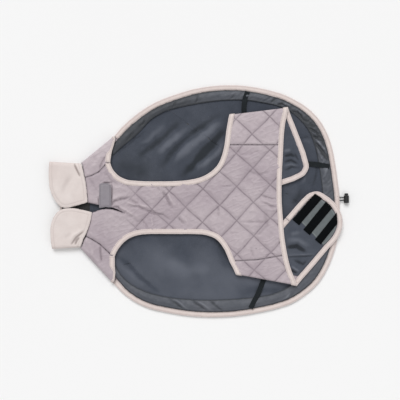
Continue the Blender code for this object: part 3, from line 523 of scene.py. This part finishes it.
def creased(points, creases, wobble=1.2, seed=3):
    """Height in mm that the listed creases add, ridges above 0 and troughs below."""
    flat = points[:, :2] + wobble * np.stack(
        [lumps(points, 14, seed), lumps(points, 14, seed + 1)], 1)
    lift = np.zeros(len(points))
    for crease in creases:
        line = np.array(crease.points, float)
        runs = np.linalg.norm(line[1:] - line[:-1], axis=1)
        total = runs.sum()
        best = np.full(len(flat), 1e9)
        part = np.zeros(len(flat))
        done = 0.0
        for start, end, run in zip(line[:-1], line[1:], runs):
            t = np.clip(((flat - start) @ (end - start)) / run**2, 0, 1)
            off = np.linalg.norm(flat - start - t[:, None] * (end - start), axis=1)
            closer = off < best
            best = np.where(closer, off, best)
            part = np.where(closer, (done + t * run) / total, part)
            done += run
        fade = np.clip(4 * part * (1 - part) + 0.12, 0, 1) ** 0.6
        lift += crease.height * np.exp(-((best / crease.width) ** 2)) * fade
    return lift


def normals(points, faces):
    """Each vertex's normal."""
    a, b, c = (points[faces[:, k]] for k in range(3))
    turned = np.cross(b - a, c - a)
    result = np.zeros_like(points)
    for k in range(3):
        np.add.at(result, faces[:, k], turned)
    return result / (np.linalg.norm(result, axis=1, keepdims=True) + 1e-12)


def quilt_cells(points):
    """Where each point is in the quilting lattice. Whole numbers are on a quilting line."""
    wander = np.stack([lumps(points, 45, 11), lumps(points, 45, 12)], 1) * 2.0
    small = np.stack([lumps(points, 12, 13), lumps(points, 12, 14)], 1) * 0.6
    off = points[:, :2] + wander + small - QUILT_START
    frame_of = np.linalg.inv(np.stack([QUILT_STEP_A, QUILT_STEP_B], 1))
    return off @ frame_of.T


def quilt_puff(cells, width):
    """0 on a quilting line, rising to 1 between the lines."""
    across = abs(QUILT_STEP_A[0] * QUILT_STEP_B[1] - QUILT_STEP_A[1] * QUILT_STEP_B[0])
    puff = np.ones(len(cells))
    for k, step in ((0, QUILT_STEP_B), (1, QUILT_STEP_A)):
        off = np.abs(cells[:, k] - np.round(cells[:, k])) * across / np.linalg.norm(step)
        puff *= 1 - np.exp(-((off / width) ** 2))
    return puff


def piece(node, step, material, move=None, rounds=2, side=1):
    """A fine copy of a CAD node, shaped by move, that stands for the node."""
    bm = bmesh.new()
    bm.from_mesh(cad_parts[node].data)
    bmesh.ops.remove_doubles(bm, verts=bm.verts, dist=WELD)
    mark_borders(bm)
    refined(bm, step, HIDDEN_STEP, side)
    mesh = bpy.data.meshes.new(node + "_cloth")
    bm.to_mesh(mesh)
    bm.free()
    points = read(mesh.vertices, "co", 3) / MM
    ends = read(mesh.edges, "vertices", 2, int)
    sharp = ends[read(mesh.edges, "use_edge_sharp", 1, bool)[:, 0]]
    faces = read(mesh.loops, "vertex_index", 1, int).reshape(-1, 3)
    border = borders(sharp, points)
    points = evened(points, ends, rounds * 2)
    layers = {}
    if move:
        points, layers = move(points, normals(points, faces), border)
    mesh.vertices.foreach_set("co", (points * MM).astype(np.float32).ravel())
    mesh.polygons.foreach_set("use_smooth", np.ones(len(faces), bool))
    mesh.edges.foreach_set("use_edge_sharp", np.zeros(len(ends), bool))
    mesh.update()
    write(mesh, "border", border)
    for name, values in layers.items():
        write(mesh, name, values)
    mesh.materials.append(material)
    obj = link(bpy.data.objects.new(node + "_cloth", mesh))
    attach(obj, "root")
    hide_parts(node)


def read(items, name, width, kind=float):
    """One value of every item, as an array with a row for each item."""
    values = np.zeros(len(items) * width, kind)
    items.foreach_get(name, values)
    return values.reshape(-1, width)


def write(mesh, name, values):
    layer = mesh.attributes.new(name, "FLOAT_VECTOR", "POINT")
    layer.data.foreach_set("vector", np.asarray(values, dtype=np.float32).ravel())


# ---------------------------------------------------------------- how each piece lies

LINING_CREASES = (
    Crease(((58, 142), (34, 117), (-10, 68), (-26, 52)), 7.5, -3.4),
    Crease(((60, 122), (40, 92), (0, 62)), 7.0, 2.4),
    Crease(((50, 160), (20, 135), (-33, 92), (-45, 78)), 8.5, 3.0),
    Crease(((45, 172), (18, 152), (-21, 130), (-48, 99), (-66, 72)), 8.0, -2.2),
    Crease(((-8, 148), (-40, 125), (-77, 96)), 8.5, 2.6),
    Crease(((-33, 159), (-66, 125), (-95, 105), (-115, 88)), 7.0, -2.0),
    Crease(((-60, 155), (-90, 128), (-112, 112)), 7.0, 1.6),
    Crease(((-168, 84), (-146, 105), (-124, 123), (-97, 143)), 2.2, -1.6),
    Crease(((-160, 72), (-124, 60), (-90, 54)), 20, -1.3),
    Crease(((-155, -111), (-121, -141), (-101, -161), (-75, -181)), 3.0, -1.6),
    Crease(((-160, -122), (-126, -152), (-106, -170)), 4.0, 0.9),
    Crease(((40, -75), (58, -105), (66, -130)), 9.0, -2.2),
    Crease(((-60, -120), (-20, -140), (30, -135)), 12.0, 1.0),
    Crease(((-30, -100), (0, -160)), 12.0, -0.35),
    Crease(((207, 126), (222, 128), (232, 127)), 3.0, -1.2),
    Crease(((208, 118), (222, 120), (234, 118)), 4.0, 1.2),
    Crease(((212, 34), (220, 58), (222, 74)), 5.0, 1.6),
    Crease(((236, 30), (243, 58), (241, 76)), 3.0, -1.4),
    Crease(((196, -8), (212, 24)), 6.0, -1.2),
    Crease(((95, -178), (160, -180), (190, -170)), 8.0, -1.2),
)

CASING_CREASES = (
    Crease(((-55, -194), (-38, -206), (-21, -218)), 2.6, -1.5),
    Crease(((-46, -194), (-28, -206), (-12, -219)), 3.0, 1.0),
    Crease(((-8, -197), (8, -209), (22, -221)), 2.4, -1.6),
    Crease(((2, -197), (18, -209), (32, -221)), 3.0, 1.0),
    Crease(((25, -197), (40, -209), (55, -221)), 2.4, -1.5),
    Crease(((172, -203), (181, -193), (189, -184)), 2.2, 1.4),
    Crease(((182, -203), (190, -193), (198, -184)), 2.4, -1.5),
    Crease(((228, 151), (236, 151), (243, 148)), 1.7, -2.0),
    Crease(((226, 147), (240, 137), (255, 121)), 2.2, -3.6),
    Crease(((235, 129), (246, 125), (257, 120)), 2.0, -3.2),
    Crease(((231, 141), (244, 132), (254, 128)), 2.2, 2.2),
    Crease(((240, 115), (255, 98), (266, 82)), 2.4, -3.6),
    Crease(((240, 124), (252, 110), (264, 98)), 2.4, 2.3),
    Crease(((236, 108), (248, 92), (256, 82)), 2.6, 1.2),
    Crease(((150, 195), (158, 204), (163, 208)), 2.0, -1.6),
    Crease(((136, 199), (146, 206), (152, 212)), 2.0, -1.3),
    Crease(((160, 190), (172, 194), (180, 190)), 2.4, -2.8),
    Crease(((168, 186), (182, 196), (190, 190)), 2.4, 2.0),
    Crease(((110, 197), (126, 199), (134, 206)), 2.4, -1.6),
    Crease(((190, 180), (204, 176), (214, 164)), 2.8, -2.6),
    Crease(((200, 190), (212, 178), (222, 168)), 2.6, 1.1),
    Crease(((213, 162), (226, 160), (236, 148)), 2.2, -1.2),
    Crease(((60, 197), (72, 206), (80, 216)), 2.4, -0.9),
    Crease(((-4, 190), (2, 202), (4, 212)), 2.2, -1.0),
    Crease(((-52, 178), (-44, 190), (-40, 200)), 2.0, -1.2),
    Crease(((-112, 150), (-104, 156), (-100, 166)), 2.0, -1.2),
    Crease(((-142, 112), (-132, 128), (-124, 140)), 2.2, -1.0),
    Crease(((248, 40), (258, 52), (264, 66)), 3.0, 1.2),
)

CHEST_CREASES = (
    Crease(((-168, 37), (-167, 14), (-168, -8)), 1.7, -2.6),
    Crease(((-184, 37), (-168, 37)), 1.6, -2.2),
    Crease(((-194, 8), (-193, -14)), 1.8, -1.6),
    Crease(((-170, -8), (-161, 0), (-147, 4), (-130, 8)), 2.6, -2.2),
    Crease(((-166, 2), (-156, 9), (-140, 13)), 3.2, 1.1),
    Crease(((-168, -11), (-154, -12), (-147, -23)), 2.0, -2.6),
    Crease(((-156, -9), (-139, -17), (-125, -28)), 2.6, 1.6),
    Crease(((-130, 3), (-121, -3), (-112, -10)), 2.2, -1.5),
    Crease(((-135, -11), (-115, -11), (-104, -15), (-84, -25), (-66, -27), (-52, -37)), 2.3, -2.0),
    Crease(((-140, -2), (-118, -7), (-98, -10), (-80, -18)), 2.6, 1.3),
    Crease(((-150, -20), (-128, -32), (-108, -46)), 3.2, -1.0),
    Crease(((-214, 47), (-203, 30), (-194, 17)), 2.4, -0.8),
    Crease(((-181, 56), (-168, 41), (-154, 32)), 2.4, -1.2),
    Crease(((-172, 28), (-150, 26), (-132, 20)), 3.6, 0.9),
    Crease(((-67, 21), (-56, 2), (-47, -14)), 2.4, -1.9),
    Crease(((-60, 22), (-48, 2), (-40, -10)), 3.0, 1.3),
    Crease(((-88, 27), (-78, 30), (-72, 20)), 2.2, -1.2),
    Crease(((-36, -32), (-28, -40), (-22, -47)), 2.2, -1.4),
    Crease(((-30, -30), (-20, -36), (-14, -46)), 2.2, 1.0),
    Crease(((-110, -38), (-100, -46), (-96, -56)), 2.2, -1.1),
    Crease(((-90, -34), (-86, -44), (-88, -54)), 2.4, 1.0),
    Crease(((44, -9), (46, -31)), 2.4, -1.3),
    Crease(((53, 29), (74, 30)), 2.2, -0.9),
    Crease(((98, -42), (139, -42)), 2.4, -1.0),
    Crease(((68, -64), (87, -64)), 2.0, -0.9),
    Crease(((130, 12), (146, 6), (160, 4)), 2.0, -1.4),
    Crease(((132, 2), (148, -4), (160, -6)), 2.2, 1.1),
    Crease(((134, -4), (150, -10), (160, -12)), 2.0, -1.3),
    Crease(((138, -14), (150, -18), (162, -18)), 2.2, 0.9),
    Crease(((140, -26), (142, -50), (120, -72)), 3.0, -1.1),
    Crease(((96, 62), (128, 52), (150, 60)), 3.0, -0.9),
    Crease(((76, 100), (100, 92), (132, 102)), 3.0, -0.8),
    Crease(((110, -92), (114, -110)), 2.6, -0.9),
)


COLLAR_CREASES = (
    Crease(((-242, 75), (-239, 67), (-231, 49)), 1.8, -3.0),
    Crease(((-237, 74), (-233, 64), (-228, 52)), 2.4, 1.2),
    Crease(((-248, 52), (-264, 28), (-268, 10)), 7.0, -0.8),
    Crease(((-238, 44), (-250, 16), (-256, -4)), 8.0, 0.7),
    Crease(((-272, 60), (-280, 30), (-270, 4)), 8.0, 0.8),
    Crease(((-248, -86), (-238, -72), (-224, -60)), 1.8, -2.8),
    Crease(((-240, -86), (-237, -78), (-232, -72)), 2.0, -2.8),
    Crease(((-252, -80), (-244, -68), (-230, -58)), 2.6, 1.2),
    Crease(((-262, -74), (-248, -62)), 4.0, -0.6),
    Crease(((-276, -30), (-250, -40), (-230, -34)), 10.0, 0.6),
)

WING_UPPER_CREASES = (
    Crease(((176, 90), (190, 93), (198, 88)), 3.2, -2.2),
    Crease(((176, 100), (190, 102)), 4.0, 1.5),
    Crease(((176, 78), (190, 82), (204, 74)), 2.8, -2.0),
    Crease(((176, 70), (190, 73), (206, 68)), 3.0, 1.3),
    Crease(((178, 62), (192, 68), (208, 66)), 2.6, -1.6),
    Crease(((198, 96), (206, 80)), 2.6, -1.4),
)

WING_LOWER_CREASES = (
    Crease(((178, -107.6), (237, -106)), 1.6, 1.7),
    Crease(((178, -111), (237, -109.6)), 1.8, -1.6),
    Crease(((182, -92), (202, -90), (220, -101)), 4.5, -3.0),
    Crease(((182, -78), (204, -78), (226, -90)), 6.0, 1.3),
    Crease(((188, -66), (208, -62)), 5.0, 1.2),
    Crease(((188, -136), (202, -145)), 2.4, -2.4),
    Crease(((190, -130), (206, -140)), 2.4, 2.0),
    Crease(((196, -118), (214, -126), (222, -120)), 3.4, -1.8),
    Crease(((190, -150), (200, -158)), 2.4, 1.6),
)

SHOULDER_CREASES = (
    Crease(((-192, 60), (-189, 70), (-180, 90)), 1.7, -2.0),
    Crease(((-191, -86), (-188, -122)), 1.7, -2.0),
    Crease(((-214, 62), (-200, 76), (-186, 94)), 4.0, 0.9),
    Crease(((-212, -86), (-204, -108), (-188, -132)), 4.0, 0.9),
)


def lie_lining(points, facing, border):
    """The fleece sags and swells in soft diagonal folds; its colour gets painted shade in the
    troughs and painted light on the ridges, and is lighter towards the bottom (-Y).
    """
    inner = smooth(border[:, 0], 4, 30)
    folds = creased(points, LINING_CREASES, 3.0) * inner
    swell = inner * (0.9 * lumps(points, 38, 21) + 0.35 * lumps(points, 15, 22))
    lift = folds + swell
    deep = np.where(lift < 0, 1.7 * np.tanh(lift / 1.7), lift)
    points = points.copy()
    points[:, 2] += deep * (facing[:, 2] > 0)
    # Painted shade in the troughs, painted light on the ridges and swells, and lighter towards the
    # bottom (-Y).
    tone = 0.46 + 0.17 * folds + 0.1 * swell + 0.26 * smooth(-points[:, 1], 40, 130)
    return points, {"painted_light_and_shade": np.stack([np.clip(tone, 0, 1), inner, inner], 1)}


def lie_shell(points, facing, border):
    """The outside lies on the floor, quilted, with its puffs pressed nearly flat."""
    cells = quilt_cells(points)
    puff = quilt_puff(cells, 5.0)
    inner = smooth(border[:, 0], 1, 9)
    points = points.copy()
    under = facing[:, 2] < -0.5
    points[:, 2] += np.where(under, 0.9 * (1 - puff) * inner, 0)
    even = np.full(len(points), 0.5)
    return points, {"quilt": np.stack([cells[:, 0], cells[:, 1], inner], 1),
                    "painted_light_and_shade": np.stack([even, inner, inner], 1)}


def lie_casing(points, facing, border):
    """The channel puffs up between its seam and the hem, gathered into creases, with painted shade
    and light following them.
    """
    inner = smooth(border[:, 0], 0.2, 5)
    gather = smooth(points[:, 0] + points[:, 1] * 0.6, 120, 260)
    folds = creased(points, CASING_CREASES, 1.5) * inner
    run = inner * (0.35 + 0.9 * gather) * streaks(points, 40, 14, 5, 31)
    lift = 1.5 * smooth(border[:, 0], 0.2, 11) + 1.2 * folds + run
    lift += inner * 0.5 * lumps(points, 9, 32)
    points = points.copy()
    points[:, 2] += np.maximum(lift, -1.6) * (facing[:, 2] > 0.2)
    # Painted shade in the troughs and painted light on the ridges; darker in two patches toward
    # the top (+Y); painted shade along its border.
    tone = 0.5 + 0.22 * folds + 0.22 * run
    tone -= 0.3 * smooth(points[:, 0], 150, 215) * smooth(points[:, 1], 70, 130)
    tone -= 0.3 * smooth(points[:, 0], 60, -40) * smooth(points[:, 1], 60, 120)
    tone -= 0.4 * (1 - smooth(border[:, 0], 0.8, 3.0))
    return points, {"painted_light_and_shade": np.stack([np.clip(tone, 0, 1), inner, inner], 1)}


def lie_quilted(creases, floor_height, seed, puff_height=1.5):
    """Padded cloth that swells between its quilting lines and puckers beside them, with painted
    shade and light following its folds.
    """
    def lie(points, facing, border):
        cells = quilt_cells(points)
        puff = quilt_puff(cells, 5.5)
        sewn = smooth(points[:, 0], PLAIN_TO - PLAIN_RUN, PLAIN_TO)
        puff = 1 - (1 - puff) * sewn
        top = smooth(points[:, 2], floor_height - 2.0, floor_height)
        up = smooth(facing[:, 2], 0.1, 0.7)
        inner = smooth(border[:, 0], 0.3, 5.0)
        near = np.exp(-((1 - puff) - 0.45) ** 2 / 0.08)
        folds = creased(points, creases, 1.2, seed)
        pull = near * lumps(points, 5.5, seed + 1)
        sharp = ridged(streaks(points, 20, 26, 8, seed + 2), 0.12) * puff
        drawn = streaks(points, -35, 30, 7, seed + 3) * puff
        lift = puff_height * puff - 0.5 + 1.45 * folds + 0.8 * pull + 0.7 * sharp
        lift += 0.65 * drawn + 0.8 * lumps(points, 34, seed + 4)
        seam = -0.9 * (1 - smooth(border[:, 0], 0.0, 3.2))
        points = points.copy()
        points[:, 2] += (lift * inner + seam) * up * top
        quilted = smooth(border[:, 0], 0.5, 2.0) * top * sewn
        # Painted shade in the folds' troughs and painted light on their ridges.
        tone = 0.5 + 0.25 * folds + 0.1 * pull + 0.14 * sharp + 0.1 * drawn
        tone += 0.1 * lumps(points, 40, seed + 5)
        painted_light_and_shade = np.stack([np.clip(tone, 0, 1), inner, inner], 1)
        return points, {"quilt": np.stack([cells[:, 0], cells[:, 1], quilted], 1), "painted_light_and_shade": painted_light_and_shade}
    return lie


def lie_soft(creases, puff_height, seed, groove_at=0.0):
    """Plain cloth that swells a little away from its border, with painted shade and light
    following its creases.
    """
    def lie(points, facing, border):
        up = smooth(facing[:, 2], 0.1, 0.7)
        inner = smooth(border[:, 0], 0.3, 6.0)
        folds = creased(points, creases, 1.0, seed) * inner
        swell = 0.5 * lumps(points, 24, seed + 1) + 0.2 * lumps(points, 8, seed + 2)
        lift = inner * (puff_height + swell) + folds
        if groove_at:
            lift -= 0.7 * np.exp(-(((border[:, 0] - groove_at) / 1.5) ** 2))
        lift -= 0.6 * (1 - smooth(border[:, 0], 0, 2.5))
        points = points.copy()
        points[:, 2] += np.maximum(lift, DEEPEST) * up
        # Painted shade in the creases' troughs and painted light on their ridges.
        tone = np.clip(0.5 + 0.2 * folds + 0.06 * swell, 0, 1)
        return points, {"painted_light_and_shade": np.stack([tone, inner, inner], 1)}
    return lie


def lie_facing(points, facing, border):
    """The collar's facing reaches under the throat as far as the back's lining."""
    points, layers = lie_soft((), 0.2, 95)(points, facing, border)
    points[:, 0] += FACING_REACH * smooth(points[:, 0], -232, -220)
    points[:, 2] += 0.4 * smooth(points[:, 0], -232, -212)
    return points, layers


TAPE_JOINTS = {"upper": (-173, 77.6), "lower": (-166, -110.2)}


def meet(points, joint):
    """Moves a tape's end past the gap before the next tape, and gives how near each point is."""
    near = np.exp(-(((points[:, 1] - joint[1]) / TAPE_OVERLAP) ** 2))
    near *= np.abs(points[:, 0] - joint[0]) < 14
    points[:, 1] += 0.5 * near * np.sign(joint[1] - points[:, 1].mean()) * TAPE_OVERLAP
    return near


def lie_tape(seed, joint=None):
    """A bound edge: a rounded tape, a little uneven."""
    def lie(points, facing, border):
        points = points.copy()
        joined = meet(points, joint) if joint else np.zeros(len(points))
        wave = 0.22 * lumps(points, 7, seed) + 0.18 * lumps(points, 20, seed + 1)
        crown = 0.5 * np.maximum(smooth(border[:, 0], 0.2, 3.0), joined)
        points[:, 2] += (wave + crown) * smooth(facing[:, 2], 0.2, 0.8)
        points[:, :2] += facing[:, :2] * (0.15 * lumps(points, 9, seed + 2))[:, None]
        return points, {}
    return lie


# ---------------------------------------------------------------- pieces

MAUVE = (173, 160, 167)
MAUVE_LIGHT = (187, 175, 180)
# A lighter copy of the mauve: painted light for the upper wing and shoulder.
MAUVE_LIT = (183, 170, 176)
MAUVE_LIT_PALEST = (197, 185, 189)


def make_cord(material):
    """The drawcord's loop: out of the hem, through the lock and back."""
    exit_x, far_x, upper_y, lower_y = 279.9, 301.3, 7.8, 1.4
    low_z, high_z, radius = 2.4, 5.3, 3.2
    line = []
    for part in np.linspace(0, 1, 13):
        rise = part * part * (3 - 2 * part)
        line.append(Vector((exit_x + (far_x - exit_x) * part, upper_y,
                            low_z + (high_z - low_z) * rise)))
    for angle in np.linspace(80, -80, 11):
        a = math.radians(angle)
        line.append(Vector((far_x + radius * math.cos(a),
                            (upper_y + lower_y) / 2 + radius * math.sin(a), high_z)))
    line += [Vector((p.x, lower_y, p.z)) for p in reversed(line[:13])]
    around, half = 14, 1.06
    bm = bmesh.new()
    rings = []
    for number, point in enumerate(line):
        ahead = (line[min(number + 1, len(line) - 1)] - line[max(number - 1, 0)]).normalized()
        side = Vector((0, 0, 1)).cross(ahead).normalized()
        top = ahead.cross(side)
        ring = []
        for k in range(around):
            turn = 2 * math.pi * k / around
            reach = half * (1 + 0.04 * math.cos(2 * turn + number * 1.4))
            ring.append(bm.verts.new((point + reach * (math.cos(turn) * side
                                                       + math.sin(turn) * top)) * MM))
        rings.append(ring)
    for first, second in zip(rings, rings[1:]):
        for k in range(around):
            n = (k + 1) % around
            bm.faces.new((first[k], first[n], second[n], second[k]))
    bm.faces.new(list(reversed(rings[0])))
    bm.faces.new(rings[-1])
    bmesh.ops.recalc_face_normals(bm, faces=bm.faces)
    for face in bm.faces:
        face.smooth = True
    mesh = bpy.data.meshes.new("drawcord_braid")
    bm.to_mesh(mesh)
    bm.free()
    mesh.materials.append(material)
    cord = link(bpy.data.objects.new("drawcord_braid", mesh))
    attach(cord, "root")
    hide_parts("drawcord")


def make_lock(material):
    """The lock's barrel and button keep their moulded shape and get their plastic."""
    for name in ("cord_lock", "cord_lock_button"):
        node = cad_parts[name]
        node.data.materials.clear()
        node.data.materials.append(material)


# The fields a sheet's declaration would have, though no sheet is declared with them below: a
# rectangle's width and length in mm, the cloth's area in square cm, how it is held, what it lies
# on, and the tapes and strips sewn on it.
Cut = namedtuple("Cut", "width length area held rests_on sewn_on")


def make_all():
    make_camera()
    make_lights()
    make_floor()
    make_cord(cord_material())
    make_lock(plastic_material())

    quilt = quilted_cloth("quilted_mauve", MAUVE, MAUVE_LIGHT)
    # A lighter copy of the quilted cloth: painted light on the upper wing and shoulder.
    quilt_lit_copy = quilted_cloth("quilted_lit_copy", MAUVE_LIT, MAUVE_LIT_PALEST)
    # The two colours given last in these calls are the painted shade for troughs and the painted
    # light for ridges.
    fleece = plain_cloth("fleece", (70, 75, 86), (84, 88, 98), (58, 63, 72), weave=0.9,
                         bump=0.9, rough=0.9, sheen=0.25, specular=0.1, lump=26, fuzz=0.35,
                         painted_light_and_shade=((40, 44, 48), (104, 108, 118)))
    inside = plain_cloth("wing_fleece", (76, 81, 92), (90, 94, 104), (62, 67, 76), weave=0.9,
                         bump=0.9, rough=0.9, sheen=0.25, specular=0.1, lump=20, fuzz=0.35,
                         painted_light_and_shade=((38, 41, 46), (112, 116, 126)))
    # A dark grey copy of the fleece: painted shade for the lining seen in the throat gap.
    throat = plain_cloth("throat_painted_shade_fleece", (62, 62, 62), (72, 71, 70), (50, 51, 50), weave=0.9,
                         bump=0.7, rough=0.9, sheen=0.15, specular=0.1, lump=20, fuzz=0.35)
    channel = plain_cloth("channel", (79, 83, 92), (93, 95, 103), (66, 70, 78), bump=0.8,
                          rough=0.5, sheen=0.1, specular=0.5, lump=9,
                          painted_light_and_shade=((38, 42, 47), (132, 135, 143)))
    tape = plain_cloth("binding", (224, 210, 205), (229, 217, 212), (205, 191, 187), bump=0.15,
                       rough=0.75, sheen=0.1, specular=0.2, lump=12, stitch_at=1.5,
                       stitch_tone=(186, 171, 168), edge_highlight=(240, 230, 228))
    pale = plain_cloth("collar_cloth", (222, 210, 206), (227, 217, 213), (208, 195, 191),
                       bump=0.25, rough=0.8, sheen=0.15, specular=0.15, lump=40, stitch_at=6.0,
                       stitch_tone=(200, 187, 183), painted_light_and_shade=((158, 146, 143), (238, 228, 224)),
                       stitch_depth=0.35)
    grey = plain_cloth("tab_cloth", (146, 140, 147), (152, 147, 152), (132, 126, 133), bump=0.4,
                       rough=0.6, sheen=0.1, specular=0.3, lump=10, stitch_at=2.2,
                       stitch_tone=(112, 106, 113), stitch_depth=0.3)
    patch = plain_cloth("patch_cloth", (104, 110, 112), (110, 116, 117), (88, 94, 96), bump=0.4,
                        rough=0.7, sheen=0.1, specular=0.25, lump=8, stitch_at=2.0,
                        stitch_tone=(134, 140, 141))
    hooks, elastic = hook_material(), elastic_material()

    piece("back_shell", 6.0, quilt, lie_shell, side=-1)
    piece("back_lining", 6.0, fleece, lie_lining)
    piece("hem_casing", 2.2, channel, lie_casing)
    piece("hem_binding", 2.8, tape, lie_tape(41), 1)
    piece("chest_panel", 2.6, quilt, lie_quilted(CHEST_CREASES, 8.0, 51))
    for side, seed, folds, cloth in (
        ("upper", 61, WING_UPPER_CREASES, quilt_lit_copy),
        ("lower", 71, WING_LOWER_CREASES, quilt),
    ):
        piece("wing_" + side, 2.5, cloth,
              lie_quilted(CHEST_CREASES, 14.5, seed, 1.3))
        piece("wing_" + side + "_lining", 2.8, inside,
              lie_soft(folds, 0.6, seed + 5))
        piece("shoulder_" + side, 2.4, cloth,
              lie_quilted(SHOULDER_CREASES, 12.0, seed + 6, 0.8))
        piece("shoulder_" + side + "_binding", 2.0, tape,
              lie_tape(seed + 7, TAPE_JOINTS[side]), 1)
        piece("leg_binding_" + side, 2.0, tape,
              lie_tape(seed + 8, TAPE_JOINTS[side]), 1)
        piece("leg_elastic_" + side, 2.4, elastic, None, 1)
    piece("belly_binding", 2.6, tape, lie_tape(81), 1)
    piece("collar", 2.4, pale, lie_soft(COLLAR_CREASES, 1.2, 91, groove_at=6.0))
    piece("collar_facing", 5.0, throat, lie_facing)
    piece("throat_tab", 1.6, grey, lie_soft((), 0.5, 97))
    piece("hook_patch", 3.2, patch, lie_soft((), 0.3, 99))
    for number in (1, 2, 3):
        piece("hook_strip_" + str(number), 1.6, hooks,
              lie_soft((), 0.1, 100 + number))


make_all()
